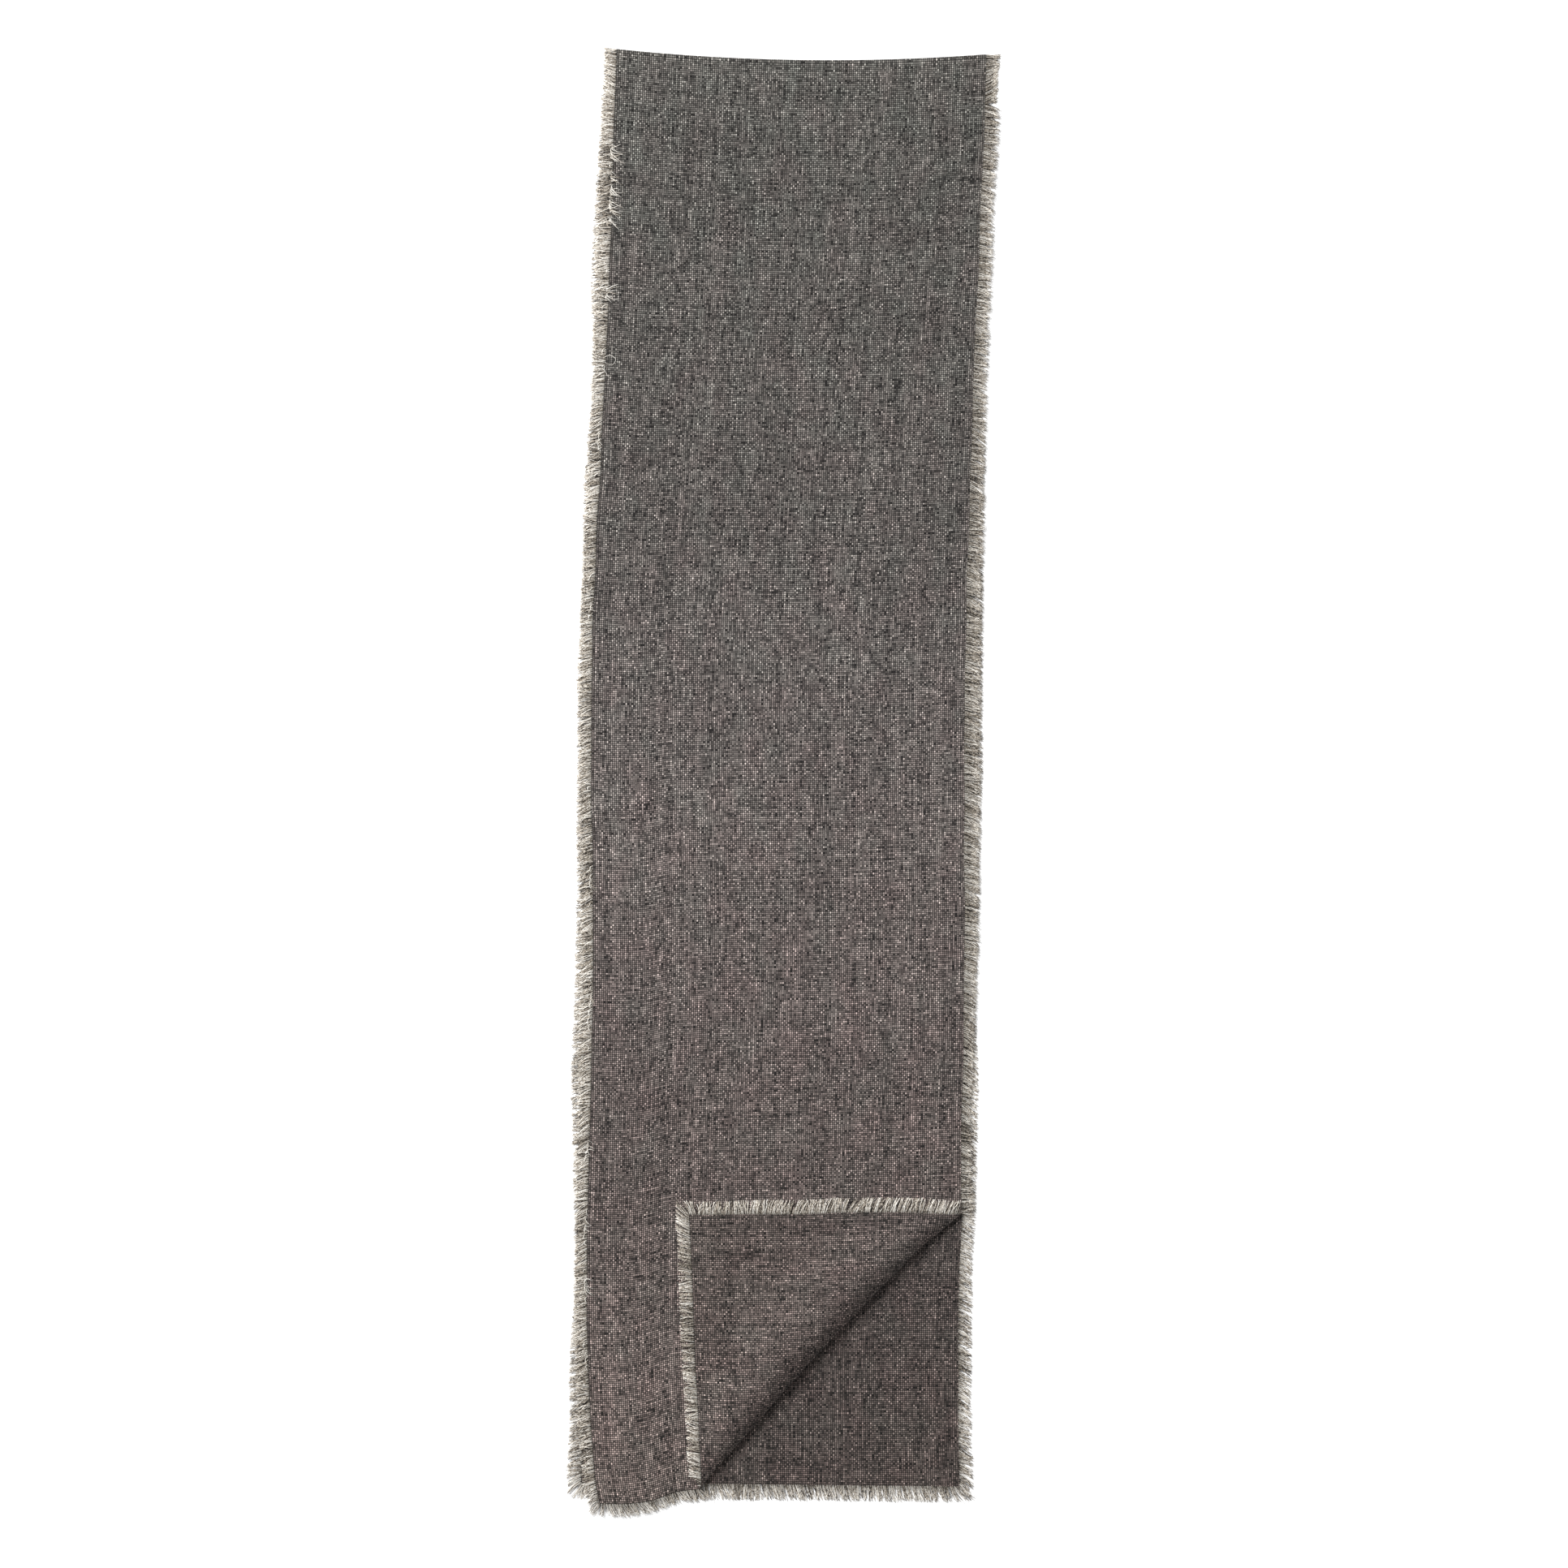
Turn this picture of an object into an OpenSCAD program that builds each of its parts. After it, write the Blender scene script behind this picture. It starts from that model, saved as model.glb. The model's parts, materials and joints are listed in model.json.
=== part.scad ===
// Table runner with frayed edges, folded once across its length and laid flat,
// with one corner of the upper layer turned back.
//
// One length of plain-woven cloth. The fringe is the cloth's own yarns, freed
// of the cross yarns, and a row of lockstitch (needle thread on the face,
// bobbin thread on the reverse) stops the fraying. The cloth is cut into a
// lower half, an upper half and a corner at its two folds, so that each fold
// can open: the half fold about a line along X, the corner fold about a slant.
//
// +Z up, Y along the runner with the half fold at the +Y end, the origin at
// the centre of the bounding box on the surface that the runner lies on.

/* [Cloth] */
// Width of the woven cloth between the fringes
cloth_w = 351; // [300:1:400]
// Thickness of the woven cloth
cloth_t = 1.2; // [0.8:0.1:1.4]
// Free space between the two layers
layer_gap = 2.0; // [1.6:0.1:3.0]
// Distance from the origin to the line of the half fold
fold_y = 695; // [690:1:720]

/* [Fringe] */
// Length of the frayed yarns past the cloth
fringe_len = 13.2; // [8:0.1:20]
// Reach of the left fringes, which curl back on themselves
left_fringe_len = 10.5; // [6:0.1:18]
// Thickness of the fringe as it lies
fringe_t = 1.0; // [0.6:0.1:1.2]

/* [Lockstitch] */
// Distance from the cloth's edge to the row of stitches
stitch_in = 1.6; // [1.2:0.1:6]
// Width of the sewing thread as it lies
thread_w = 0.6; // [0.4:0.1:0.8]
// Depth that each thread sinks into the cloth
thread_d = 0.35; // [0.2:0.05:0.4]

/* [Turned corner] */
// How far up the right edge the corner is turned
turn_up = 258; // [230:1:270]
// Slant of the corner's fold to the X axis
turn_angle = 47.5; // [45:0.5:50]
// Outer radius of the soft roll where the corner turns back
roll_r = 6; // [4:0.5:7]
// Distance over which the roll runs out onto the turned corner
roll_run = 30; // [20:1:50]
// Free space between the turned corner and the cloth it lies on
turn_gap = 0.4; // [0.3:0.1:1.0]

/* [Hidden] */
$fn = 64;

cloth_colour = [0.36, 0.33, 0.31];
fringe_colour = [0.80, 0.77, 0.71];
thread_colour = [0.24, 0.22, 0.21];

// Heights of the two layers
upper_z = cloth_t + layer_gap;
fold_z = (2 * cloth_t + layer_gap) / 2;
fold_ro = fold_z;
fold_ri = layer_gap / 2;
// Room between bodies that move against each other
clear = 0.3;

// How far the middle of each layer wanders from the Y axis along its length
function lower_sway(y) = lookup(y, [[-697, 3.5], [-360, 5], [-280, 4], [0, 1], [210, -1], [697, 3]]);
function upper_sway(y) = lookup(y, [[-684, 15.5], [-668, 12], [-600, 5], [-477, -1], [-232, -1], [-139, -2], [14, -7], [167, -8], [290, -4.5], [477, 0.5], [697, 3]]);
// Where each layer's cloth ends, across its width
function lower_end(x) = lookup(x, [[-190, -662], [190, -658]]);
function upper_end(x) = lookup(x, [[-160, -684], [-137, -684], [-110, -680], [-87, -672], [-61, -668], [53, -661], [186, -654]]);

half_w = cloth_w / 2;
ys_lower = [fold_y, 450, 210, 0, -140, -280, -360, -500];
ys_upper = [fold_y, 477, 290, 167, 14, -139, -232, -354, -477, -600, -668];

function lower_x(y, s) = s * half_w + lower_sway(y);
function upper_x(y, s) = s * half_w + upper_sway(y);
lower_bl = [lower_x(-662, -1), lower_end(lower_x(-662, -1))];
lower_br = [lower_x(-658, 1), lower_end(lower_x(-658, 1))];
upper_bl = [-160, -684];
upper_br = [186, -654];

// The fold line of the corner, along the middle of its roll, from the right
// edge at fold_a down to the end at fold_b
fold_a = [176.5, upper_br[1] + turn_up];
fold_len = (fold_a[1] - upper_end(-73)) / sin(turn_angle);
fold_b = fold_a - fold_len * [cos(turn_angle), sin(turn_angle)];
// Height of the line that the corner turns about, midway between its two places
hinge_z = upper_z + cloth_t + turn_gap / 2;

// Points down one side of a layer, from the fold to the end, d outside its edge
function lower_side(s, d) = concat(
    [for (y = ys_lower) [lower_x(y, s) + s * d, y]],
    [(s > 0 ? lower_br : lower_bl) + [s * d, 0]]);
// The upper layer's right side runs straight down past the corner fold
ys_right = [fold_y, 477, 290, 167, 14, -139, -232, -354];
function upper_side(s, d) = s < 0
    ? concat([for (y = ys_upper) [upper_x(y, -1) - d, y]], [upper_bl + [-d, 0]])
    : concat([for (y = ys_right) [upper_x(y, 1) + d, y]], [[176 + d, -400], upper_br + [d, 0]]);
// Points along the end of a layer, from left to right, d beyond its edge
function lower_edge(d) = [lower_bl + [0, -d], lower_br + [0, -d]];
upper_edge_x = [-160, -137, -110, -87, -61, 53, 186];
function upper_edge(d) = [for (x = upper_edge_x) [x, upper_end(x) - d]];

function backwards(v) = [for (i = [len(v) - 1:-1:0]) v[i]];
// A band between two lines of points
module band(a, b) { polygon(concat(a, backwards(b))); }

module slab(z, t) { translate([0, 0, z]) linear_extrude(height = t) children(); }

// --- outlines ---
module lower_outline() { polygon(concat(lower_side(-1, 0), backwards(lower_side(1, 0)))); }
module upper_outline() { polygon(concat(upper_side(-1, 0), [for (i = [1:5]) upper_edge(0)[i]], backwards(upper_side(1, 0)))); }

// The line round three sides of a layer, d inside its edge
function lower_line(d) = concat(
    [for (y = ys_lower) [lower_x(y, -1) + d, y]],
    [lower_bl + [d, d], lower_br + [-d, d]],
    backwards([for (y = ys_lower) [lower_x(y, 1) - d, y]]));
function upper_line(d) = concat(
    [for (y = ys_upper) [upper_x(y, -1) + d, y]],
    [upper_bl + [d, d]],
    [for (i = [1:5]) [upper_edge_x[i], upper_end(upper_edge_x[i]) + d]],
    [upper_br + [-d, d], [176 - d, -400]],
    backwards([for (y = ys_right) [upper_x(y, 1) - d, y]]));
// The run of thread round a layer
module lower_run(w) { band(lower_line(stitch_in - w / 2), lower_line(stitch_in + w / 2)); }
module upper_run(w) { band(upper_line(stitch_in - w / 2), upper_line(stitch_in + w / 2)); }

// Everything on the corner's side of its fold line, further than g past it
module past_fold(g) {
    translate([fold_b[0], fold_b[1], -5]) rotate([0, 0, turn_angle])
        translate([-150, -300 - g, 0]) cube([fold_len + 300, 300, 40]);
}
module short_of_fold() {
    difference() { children(); past_fold(0); }
}

// Turns a piece of the flat corner back about the line of its fold
module turn_back() {
    translate([fold_a[0], fold_a[1], hinge_z]) rotate([0, 0, turn_angle])
        rotate([180, 0, 0])
            rotate([0, 0, -turn_angle]) translate([-fold_a[0], -fold_a[1], -hinge_z])
                intersection() { children(); past_fold(2 * clear); }
}

// Half a tube about the line of the half fold, opening towards -Y
module half_fold_tube(x0, x1, ro, ri) {
    translate([x0, fold_y, fold_z]) rotate([0, 90, 0]) difference() {
        cylinder(r = ro, h = x1 - x0);
        translate([0, 0, -1]) cylinder(r = ri, h = x1 - x0 + 2);
        translate([-ro - 1, -2 * ro, -1]) cube([2 * ro + 2, 2 * ro, x1 - x0 + 2]);
    }
}

// The soft roll of the corner fold, t thick, from s0 to s1 along it: half a
// tube that rises from the upper cloth, and a ramp down onto the turned corner
module corner_roll(s0, s1, t) {
    top = upper_z + 2 * roll_r;
    foot = hinge_z + turn_gap / 2 + cloth_t + clear;
    translate([fold_b[0], fold_b[1], 0]) rotate([0, 0, turn_angle])
        translate([s0, 0, 0]) rotate([90, 0, 90]) linear_extrude(height = s1 - s0) {
            difference() {
                translate([0, upper_z + roll_r]) circle(r = roll_r);
                translate([0, upper_z + roll_r]) circle(r = roll_r - t);
                translate([0, upper_z - 1]) square([2 * roll_r, 2 * roll_r + 2]);
            }
            polygon([[0, top - t], [0, top], [roll_run, foot + t], [roll_run, foot]]);
        }
}

// --- lower half ---
module lower_needle_thread() { color(thread_colour) slab(0, thread_d) lower_run(thread_w); }
module lower_bobbin_thread() { color(thread_colour) slab(cloth_t - thread_d, thread_d) lower_run(thread_w); }
module lower_cloth() {
    color(cloth_colour) difference() {
        slab(0, cloth_t) lower_outline();
        lower_needle_thread();
        lower_bobbin_thread();
    }
}
module lower_fringe_left() { color(fringe_colour) slab(0, fringe_t) band(lower_side(-1, 0), lower_side(-1, left_fringe_len)); }
module lower_fringe_right() { color(fringe_colour) slab(0, fringe_t) band(lower_side(1, 0), lower_side(1, fringe_len)); }
module lower_fringe_end() { color(fringe_colour) slab(0, fringe_t) band(lower_edge(0), lower_edge(fringe_len)); }
fold_l = lower_x(fold_y, -1);
fold_r = lower_x(fold_y, 1);
module half_fold_roll() { color(cloth_colour) half_fold_tube(fold_l, fold_r, fold_ro, fold_ri); }
module half_fold_fringe_left() { color(fringe_colour) half_fold_tube(fold_l - left_fringe_len, fold_l, fold_ro, fold_ro - fringe_t); }
module half_fold_fringe_right() { color(fringe_colour) half_fold_tube(fold_r, fold_r + fringe_len, fold_ro, fold_ro - fringe_t); }

// --- upper half ---
module upper_face() { slab(upper_z, cloth_t) upper_outline(); }
module upper_needle() { slab(upper_z + cloth_t - thread_d, thread_d) upper_run(thread_w); }
module upper_bobbin() { slab(upper_z, thread_d) upper_run(thread_w); }
// Keeps the upper half clear of the half fold
module off_the_fold() {
    intersection() {
        children();
        translate([-300, -800, -5]) cube([600, 800 + fold_y - clear, 40]);
    }
}
module upper_cloth() {
    color(cloth_colour) short_of_fold() off_the_fold() difference() {
        upper_face();
        upper_needle();
        upper_bobbin();
    }
}
module upper_needle_thread() { color(thread_colour) short_of_fold() off_the_fold() upper_needle(); }
module upper_bobbin_thread() { color(thread_colour) short_of_fold() off_the_fold() upper_bobbin(); }
module upper_left_strip() { slab(upper_z, fringe_t) band(upper_side(-1, 0), upper_side(-1, left_fringe_len)); }
module upper_right_strip() { slab(upper_z, fringe_t) band(upper_side(1, 0), upper_side(1, fringe_len)); }
module upper_end_strip() { slab(upper_z, fringe_t) band(upper_edge(0), upper_edge(fringe_len)); }
module upper_fringe_left() { color(fringe_colour) off_the_fold() upper_left_strip(); }
module upper_fringe_right() { color(fringe_colour) short_of_fold() off_the_fold() upper_right_strip(); }
module upper_fringe_end() { color(fringe_colour) short_of_fold() upper_end_strip(); }
module corner_fold_roll() { color(cloth_colour) corner_roll(0, fold_len, cloth_t); }
module corner_fold_fringe_side() { color(fringe_colour) corner_roll(fold_len, fold_len + fringe_len, fringe_t); }
module corner_fold_fringe_end() { color(fringe_colour) corner_roll(-fringe_len, 0, fringe_t); }

// --- turned corner ---
module corner_cloth() {
    color(cloth_colour) turn_back() difference() {
        upper_face();
        upper_needle();
        upper_bobbin();
    }
}
module corner_needle_thread() { color(thread_colour) turn_back() upper_needle(); }
module corner_bobbin_thread() { color(thread_colour) turn_back() upper_bobbin(); }
module corner_fringe_side() { color(fringe_colour) turn_back() upper_right_strip(); }
module corner_fringe_end() { color(fringe_colour) turn_back() upper_end_strip(); }

lower_cloth();
half_fold_roll();
half_fold_fringe_left();
half_fold_fringe_right();
lower_fringe_left();
lower_fringe_right();
lower_fringe_end();
lower_needle_thread();
lower_bobbin_thread();
upper_cloth();
corner_fold_roll();
corner_fold_fringe_side();
corner_fold_fringe_end();
upper_fringe_left();
upper_fringe_right();
upper_fringe_end();
upper_needle_thread();
upper_bobbin_thread();
corner_cloth();
corner_fringe_side();
corner_fringe_end();
corner_needle_thread();
corner_bobbin_thread();
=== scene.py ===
import json
import math
import bpy
import numpy as np
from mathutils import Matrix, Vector


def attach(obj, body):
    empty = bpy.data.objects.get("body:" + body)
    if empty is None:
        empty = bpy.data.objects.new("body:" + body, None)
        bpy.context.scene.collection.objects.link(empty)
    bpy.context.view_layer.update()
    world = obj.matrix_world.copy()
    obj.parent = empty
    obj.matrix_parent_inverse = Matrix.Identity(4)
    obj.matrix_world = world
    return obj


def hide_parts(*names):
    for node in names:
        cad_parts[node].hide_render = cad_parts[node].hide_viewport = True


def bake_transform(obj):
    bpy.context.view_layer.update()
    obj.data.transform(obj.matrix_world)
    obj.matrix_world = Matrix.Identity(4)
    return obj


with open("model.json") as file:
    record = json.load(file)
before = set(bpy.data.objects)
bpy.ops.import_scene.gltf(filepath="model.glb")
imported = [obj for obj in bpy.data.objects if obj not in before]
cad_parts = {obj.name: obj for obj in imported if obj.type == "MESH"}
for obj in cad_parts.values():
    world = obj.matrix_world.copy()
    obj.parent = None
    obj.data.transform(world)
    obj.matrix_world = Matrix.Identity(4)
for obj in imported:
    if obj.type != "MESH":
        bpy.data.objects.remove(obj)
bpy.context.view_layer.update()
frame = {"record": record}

# ---------------------------------------------------------------- the frame
# Everything below is worked out in millimetres and turned into metres when a
# mesh is made. The two folds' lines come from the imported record.
joints = {j["name"]: j for j in frame["record"]["behaviour"]["joints"]}
FOLD_Y, FOLD_Z = [1000 * v for v in joints["half_fold"]["pos_m"][1:]]
TURN = np.array(joints["corner_fold"]["pos_m"]) * 1000
TURN_E = np.array(joints["corner_fold"]["axis"][:2], float)
TURN_E /= np.linalg.norm(TURN_E)
TURN_N = np.array([TURN_E[1], -TURN_E[0]])      # towards the turned corner, laid flat
TURN_HALF = 184.0
TURN_A = TURN[:2] + TURN_HALF * TURN_E          # where the fold starts on the right edge
SPAN = math.radians(179.8)

HALF_W = 175.5
LOW_LEN, UP_LEN = 1348.0, 1352.0                # from the half fold to each end
LOW_Z, UP_Z, FLAP_Z = 0.6, 3.8, 5.4             # the middle of each layer
THICK = 0.9
WARP, WEFT = 1.94, 1.89                         # spacing of the yarns
SEAM = 48.0                                     # where cloth_lower hands over to cloth_upper
STITCH_IN = 1.6


def smooth(x, a=0.0, b=1.0):
    t = np.clip((np.asarray(x, float) - a) / (b - a), 0, 1)
    return t * t * (3 - 2 * t)


def curve(x, points):
    """A smooth line through points."""
    p = np.array(sorted(points), float)
    X, Y = p[:, 0], p[:, 1]
    h, d = np.diff(X), np.diff(Y) / np.diff(X)
    m = np.concatenate([[d[0]], (d[:-1] * h[1:] + d[1:] * h[:-1]) / (h[1:] + h[:-1]), [d[-1]]])
    x = np.clip(np.asarray(x, float), X[0], X[-1])
    i = np.clip(np.searchsorted(X, x, side="right") - 1, 0, len(X) - 2)
    t = (x - X[i]) / h[i]
    return (Y[i] * (1 + 2 * t) * (1 - t) ** 2 + h[i] * m[i] * t * (1 - t) ** 2
            + Y[i + 1] * t * t * (3 - 2 * t) + h[i] * m[i + 1] * t * t * (t - 1))


def waves(seed, n, across, along):
    """A soft, slow field of waves, about -1 to 1."""
    r = np.random.default_rng(seed)
    k = [(2 * math.pi / r.uniform(*across) * r.choice([-1, 1]), 2 * math.pi / r.uniform(*along),
          r.uniform(0, 6.283), r.uniform(0.6, 1)) for _ in range(n)]
    total = sum(a for *_, a in k)
    return lambda x, y: sum(a * np.sin(kx * x + ky * y + p) for kx, ky, p, a in k) * 1.7 / total


slow = waves(3, 9, (110, 330), (130, 520))
finer = waves(4, 12, (38, 110), (60, 200))
low_slow = waves(5, 7, (120, 300), (160, 420))
edge_wobble = waves(6, 8, (900, 4000), (34, 170))

# How far each layer wanders from the Y axis
LOW_LEFT = [(-700, -2.5), (-602, -1.9), (-541, -2.6), (-480, -1.0), (-418, -1.5), (-356, -5.5), (-295, -7.4), (-233, -7.8),
            (-141, -6), (-80, -7.4), (43, -9), (104, -10.5), (166, -8.6), (289, -7.4), (350, -3), (412, -2.8), (473, -5.4),
            (534, -4.2), (596, -0.8), (700, 2.5)]
LOW_RIGHT = [(-700, 4.5), (-640, 3.4), (-571, 1.0), (-417, 0.5), (-354, 2), (-280, 1), (-200, -1.5), (-100, -1), (0, -1),
             (210, -4), (450, -6), (580, -2.6), (700, 1.4)]
LEFT_SWAY = [(-700, 17.5), (-684, 15.5), (-668, 12), (-600, 5), (-477, -1), (-354, -1.4), (-232, -1),
             (-139, -2), (14, -7), (167, -8), (290, -4.5), (477, 0.5), (700, 3)]
RIGHT_SWAY = [(-700, 12.4), (-654, 10.5), (-400, 0.6), (-354, -0.8), (-232, -1), (-139, -2),
              (14, -5.5), (167, -6.8), (290, -5.5), (400, -4.4), (477, -2.6), (580, -0.2), (700, 1.4)]
UP_END = [(-195, -684), (-160, -684), (-137, -684), (-110, -680), (-87, -672), (-61, -668), (53, -661), (200, -653)]


def low_end(x):
    return -662.8 + 2 * x / 190


def fold_edge(x):
    """The half fold as it lies, hollow in the middle."""
    t = np.clip(x / 176, -1, 1)
    return FOLD_Y - 10.1 + 7.9 * t * t + 0.9 * t


# ------------------------------------------------- the roll of the corner fold
# Its section is tight at the bottom and then leans back in a long, slackening curve.
_tau = np.linspace(0, 1, 801)
_theta = math.pi * np.interp(_tau, [0, 0.08, 0.15, 0.5, 1], [0, 0.5, 0.74, 0.86, 1])
_mid = (_theta[1:] + _theta[:-1]) / 2
_F = np.concatenate([[0], np.cumsum(np.cos(_mid))]) / 800
_G = np.concatenate([[0], np.cumsum(np.sin(_mid))]) / 800
ROLL_OUT, ROLL_END, ROLL_TALL = _F.max(), _F[-1], _G[-1]

# The outer edge of the roll, past the fold's own line, and the roll's height
EDGE = [(-30, 5.5), (10.7, 4.0), (48.6, -0.5), (104.6, -2.2), (163.8, -2.7), (225.8, -1.5), (288.3, 1.4),
        (334.5, 3.1), (362.8, 5.6), (400, 6.5)]


def roll_shape(g):
    """For a place g along the fold: edge, length of cloth in the roll, its start and end across the fold."""
    edge = curve(g, EDGE)
    tall = 3.2 + 9.8 * np.sin(math.pi * np.clip(g / 368, 0, 1)) ** 0.85
    arc = tall / ROLL_TALL
    start = edge - ROLL_OUT * arc
    end = edge - (ROLL_OUT - ROLL_END) * arc
    return edge, tall, arc, start, end


def roll_section(g, q):
    """Where the cloth lies across the fold and how high, for a flat distance q past the fold's line."""
    edge, tall, arc, start, end = roll_shape(g)
    stop = start + arc
    slack = end + stop                          # what the roll leaves over is spread on the flap
    t = np.clip((q - start) / arc, 0, 1)
    f_roll = start + arc * np.interp(t, _tau, _F)
    z_roll = UP_Z + arc * np.interp(t, _tau, _G)
    past = np.maximum(q - stop, 0)
    f_flap = -q + slack * np.exp(-(past / 62) ** 2)
    u = np.clip(past / (4.6 * tall + 8), 0, 1)
    z_flap = FLAP_Z + (UP_Z + tall - FLAP_Z) * (1 - u) ** 2 * (1 + 2 * u)
    f = np.where(q < start, q, np.where(q < stop, f_roll, f_flap))
    z = np.where(q < start, UP_Z, np.where(q < stop, z_roll, z_flap))
    return f, z


_g = np.linspace(-30, 400, 216)
_q = np.linspace(-60, 60, 601)
_near, _near_q = np.zeros(len(_g)), np.zeros(len(_g))
for _i, _gg in enumerate(_g):
    _f, _z = roll_section(np.full(len(_q), _gg), _q)
    _rho = np.hypot(_f, _z - TURN[2])
    _k = int(np.argmin(_rho))
    _near[_i], _near_q[_i] = _rho[_k], _q[_k]


def corner_weight(g, q, f, z):
    """0 on the upper half, 1 on the turned corner. In between, each point gets the share of the turn that
    lays it flat when the corner is opened, but for a low crease along the fold."""
    drop = TURN[2] - UP_Z
    rho = np.maximum(np.hypot(f, z - TURN[2]), 1e-6)
    psi = np.arctan2(z - TURN[2], -f)
    near = np.interp(g, _g, _near)
    crease = (near + drop) * smooth(-curve(g, EDGE), -1.5, 2.5) * np.exp(-((rho - near) / 9) ** 2)
    lift = np.arcsin(np.clip((crease - drop) / rho, -1, 1))
    want = np.where(q < np.interp(g, _g, _near_q), lift, math.pi - lift)
    turn = np.mod(want - psi + math.pi / 2, 2 * math.pi) - math.pi / 2
    w = turn / SPAN
    w = np.where(q < -75, 0, w)
    # a hair over 1 near the fold brings the opened corner level
    return np.clip(np.where(q > 150, 1.0, w), 0, 1.02)


def place(s, v):
    """Where the middle of the cloth lies. s is across the cloth, v along it, below 0 in the lower half and
    above 0 in the upper half. Returns points, the share of the half fold's turn and of the corner's."""
    s, v = np.broadcast_arrays(np.asarray(s, float), np.asarray(v, float))
    up = v >= 0
    l = np.abs(v)
    x0 = s + 3
    ya = fold_edge(x0)
    c, quarter = 4.0, 4.785
    phi = np.clip(l / quarter, 0, 1) * math.pi / 2
    z = FOLD_Z + np.where(up, 1, -1) * (UP_Z - FOLD_Z) * np.sin(phi)
    k = np.clip((s + HALF_W) / (2 * HALF_W), -0.1, 1.1)
    end = np.where(up, curve(s + 15.5 * (1 - k) + 10.5 * k, UP_END), low_end(s + 3.5))
    length = np.where(up, UP_LEN, LOW_LEN)
    r = (l - quarter) / (length - quarter)
    y = np.where(l < quarter, ya - c * (1 - np.cos(phi)), (ya - c) + (end - ya + c) * r)
    sway = np.where(up, curve(y, LEFT_SWAY) * (1 - k) + curve(y, RIGHT_SWAY) * k,
                    curve(y, LOW_LEFT) * (1 - k) + curve(y, LOW_RIGHT) * k)
    rim = np.clip(np.abs(s) / HALF_W, 0, 1) ** 4 * np.sign(s)
    x = s + sway + 0.7 * rim * edge_wobble(s * 0, y + np.where(up, 0, 900)) * smooth(l, 10, 60)

    # the half fold's weights, from the plain section
    back, dz = FOLD_Y - y, z - FOLD_Z
    rho, psi, near = np.hypot(back, dz), np.arctan2(dz, back), FOLD_Y - ya
    crease = (near + 1.6) * np.exp(-((rho - near) / 15) ** 2)
    lift = np.arcsin(np.clip((crease - 1.6) / rho, -1, 1))
    w_half = np.clip(np.where(up, math.pi - lift - psi, lift - psi) / SPAN, 0, 1)
    w_half = np.where(l > 110, np.where(up, 1.0, 0.0), w_half)

    # the lower layer is nearly flat; the upper one sags a little between touches
    soft = smooth(l, 14, 90)
    low_wave = 0.16 + 0.22 * low_slow(x, y)

    def sag(x, y):
        w = 0.62 * slow(x, y) + 0.38 * finer(x, y)
        return np.clip(-0.62 + 0.75 * w, -1.5, 0.12) * smooth(FOLD_Y - y, 14, 110)

    # the corner
    rel = np.stack([x - TURN_A[0], y - TURN_A[1]], -1)
    g, q = -(rel @ TURN_E), rel @ TURN_N
    f, zc = roll_section(g, q)
    w_corner = np.where(up & (v > 600), corner_weight(g, q, f, zc), 0)
    at = TURN_A - g[..., None] * TURN_E + f[..., None] * TURN_N
    _, _, arc, start, _ = roll_shape(g)
    turned = up & (v > 600) & (q > start)
    flap = smooth(q, 0, 60)
    # the turned corner is pulled a little out of square
    along_end = np.clip((HALF_W - s) / 262, 0, 1)
    from_end = np.clip((UP_LEN - v) / 262, 0, 1)
    bx = 2.6 * flap * np.sin(math.pi * along_end ** 0.8) ** 1.2 * np.exp(-(from_end / 0.5) ** 2)
    by = -2.4 * flap * np.sin(math.pi * from_end) * np.exp(-(along_end / 0.5) ** 2)
    X = np.where(turned, at[..., 0] + bx, x)
    Y = np.where(turned, at[..., 1] + by, y)
    Z = np.where(turned, zc, z)
    Z = Z + np.where(up, sag(X, Y), low_wave * soft)
    Z = Z + np.where(turned, flap * (0.22 + 0.35 * finer(Y * 1.1, X * 1.3)), 0)
    return np.stack([X, Y, Z], -1), w_half, w_corner


def normals(s, v):
    """The side of the cloth that faces in at the half fold."""
    e = 0.4
    a = place(s + e, v)[0] - place(s - e, v)[0]
    b = place(s, v + e)[0] - place(s, v - e)[0]
    n = np.cross(a, b)
    return n / np.linalg.norm(n, axis=-1, keepdims=True)


# ---------------------------------------------------------------- making meshes
def make_mesh(name, verts, faces, attributes, smooth_faces=True):
    me = bpy.data.meshes.new(name)
    me.from_pydata((verts * 0.001).tolist(), [], faces.tolist())
    me.update()
    me.polygons.foreach_set("use_smooth", np.full(len(me.polygons), smooth_faces))
    for key, values in attributes.items():
        kind = "FLOAT_VECTOR" if values.ndim == 2 else "FLOAT"
        a = me.attributes.new(key, kind, "POINT")
        a.data.foreach_set("vector" if values.ndim == 2 else "value", values.astype(np.float32).ravel())
    ob = bpy.data.objects.new(name, me)
    bpy.context.scene.collection.objects.link(ob)
    return ob


def hold(ob, a, b):
    """Rides on body a when b is None; otherwise its transform is baked into the mesh and it is attached to neither
    body.
    """
    if b is None:
        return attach(ob, a)
    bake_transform(ob)
    return ob


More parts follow.
